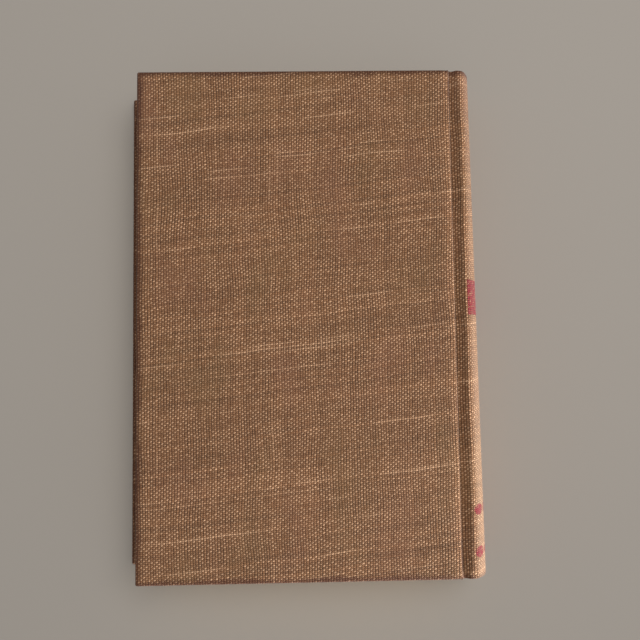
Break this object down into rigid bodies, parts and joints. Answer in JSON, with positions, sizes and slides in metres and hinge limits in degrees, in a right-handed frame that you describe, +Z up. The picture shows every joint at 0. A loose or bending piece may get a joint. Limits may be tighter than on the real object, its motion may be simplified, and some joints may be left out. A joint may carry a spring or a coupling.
{
  "type": "hardback book",
  "caption": "Cloth-bound hardback book with a rounded spine, French grooves and opening covers, lying on its front cover and leaning a little.",
  "frame": {"origin": "middle of the closed book's box, on the surface that it lies on", "axes": "+X towards the spine, +Y towards the head, +Z up out of the back cover; the front cover is underneath"},
  "size_m": [0.1514, 0.21, 0.0315],
  "materials": {
    "book_cloth": "matte",
    "binders_board": "matte",
    "page_paper": "matte",
    "endpaper": "matte",
    "mull_gauze": "matte",
    "kraft_paper": "matte",
    "band_thread": "satin"
  },
  "bodies": {
    "text_block": {"page_block": "page_paper", "front_flyleaf": "endpaper", "back_flyleaf": "endpaper", "mull": "mull_gauze", "spine_lining": "kraft_paper", "head_band": "band_thread", "tail_band": "band_thread", "spine_inlay": "kraft_paper", "spine_cloth": "book_cloth"},
    "front_cover": {"front_board": "binders_board", "front_cloth": "book_cloth", "front_mull_flap": "mull_gauze", "front_pastedown": "endpaper"},
    "back_cover": {"back_board": "binders_board", "back_cloth": "book_cloth", "back_mull_flap": "mull_gauze", "back_pastedown": "endpaper"}
  },
  "joints": [
    {"name": "back_hinge", "type": "hinge", "parent": "text_block", "child": "back_cover", "pos_m": [0.06878, 0, 0.03085], "axis": [0, 1, 0], "range_deg": [0, 180]},
    {"name": "front_hinge", "type": "hinge", "parent": "text_block", "child": "front_cover", "pos_m": [0.05981, 0, 0.00065], "axis": [0, -1, 0], "range_deg": [0, 180]}
  ]
}
